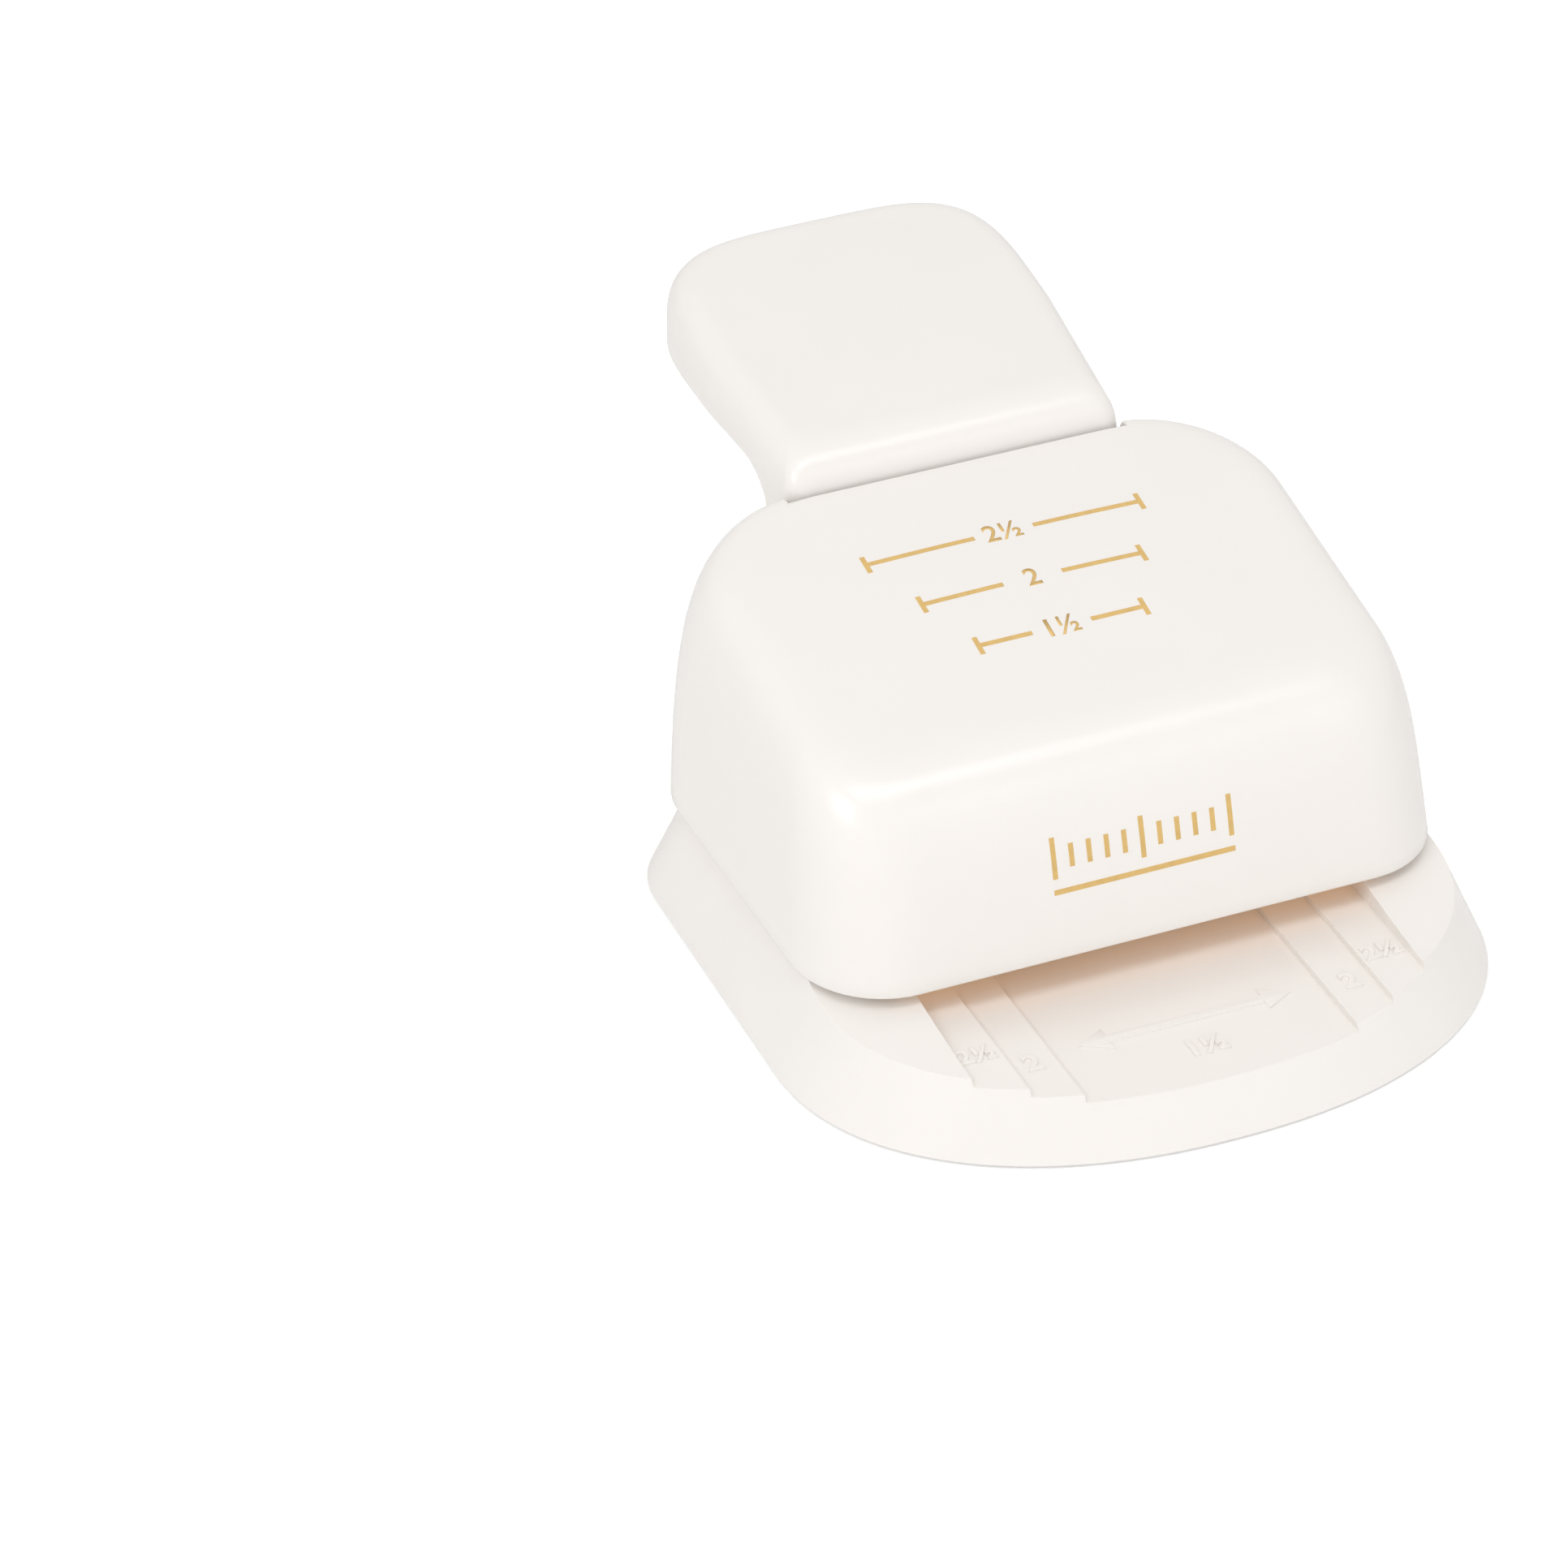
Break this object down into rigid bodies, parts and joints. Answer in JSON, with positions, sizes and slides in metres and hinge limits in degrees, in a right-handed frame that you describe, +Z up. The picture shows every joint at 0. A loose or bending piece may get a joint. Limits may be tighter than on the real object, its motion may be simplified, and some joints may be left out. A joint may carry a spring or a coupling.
{
  "type": "label punch",
  "caption": "Desk label punch with a stepped paper table, a rounded head over a die and cutters, and a rear press lever that drives a sprung punch carriage.",
  "frame": {"origin": "bottom centre of the whole part, on the surface that its feet stand on", "axes": "+X to the right as the user faces the table, +Y from the table towards the lever, +Z up"},
  "size_m": [0.0974, 0.139, 0.0621],
  "materials": {
    "cream_plastic": "satin moulded",
    "dark_rubber": "matte",
    "tool_steel": "ground",
    "cast_alloy": "die cast",
    "bright_steel": "zinc plated",
    "bearing_brass": "turned",
    "pad_nylon": "moulded"
  },
  "bodies": {
    "base": {"base_shell": "cream_plastic", "rubber_feet": "dark_rubber", "die_plate": "tool_steel", "spacer_left": "cast_alloy", "spacer_right": "cast_alloy", "paper_stop": "cast_alloy", "stripper_plate": "cast_alloy", "stack_screws": "bright_steel", "guide_post_left": "bright_steel", "guide_post_right": "bright_steel", "post_retainers": "bright_steel", "return_spring_left": "bright_steel", "return_spring_right": "bright_steel", "pivot_bracket_left": "bright_steel", "pivot_bracket_right": "bright_steel", "bracket_screws": "bright_steel", "pivot_pin": "bright_steel", "pivot_clips": "bright_steel", "head_cover": "cream_plastic", "cover_screws": "bright_steel"},
    "lever": {"lever_handle": "cream_plastic", "lever_arm_left": "bright_steel", "lever_arm_right": "bright_steel", "handle_underplate": "cream_plastic", "handle_screws": "bright_steel", "handle_pins": "bright_steel", "pivot_bushes": "bearing_brass"},
    "carriage": {"punch_carriage": "cast_alloy", "carriage_bushes": "bearing_brass", "press_pads": "pad_nylon", "end_cutter": "tool_steel", "slot_cutter": "tool_steel", "cutter_screws": "bright_steel"}
  },
  "joints": [
    {"name": "lever_press", "type": "hinge", "parent": "base", "child": "lever", "pos_m": [0, -0.0279, 0.02965], "axis": [-1, 0, 0], "range_deg": [0, 16.49], "stiffness_Nm_per_rad": 0.5, "springref_deg": -17.19},
    {"name": "punch_stroke", "type": "slide", "parent": "base", "child": "carriage", "axis": [0, 0, -1], "range_m": [0, 0.0066], "deforming": ["return_spring_left", "return_spring_right"]}
  ],
  "couplings": [
    {"joint": "punch_stroke", "follows": "lever_press", "m_per_rad": 0.022921}
  ]
}
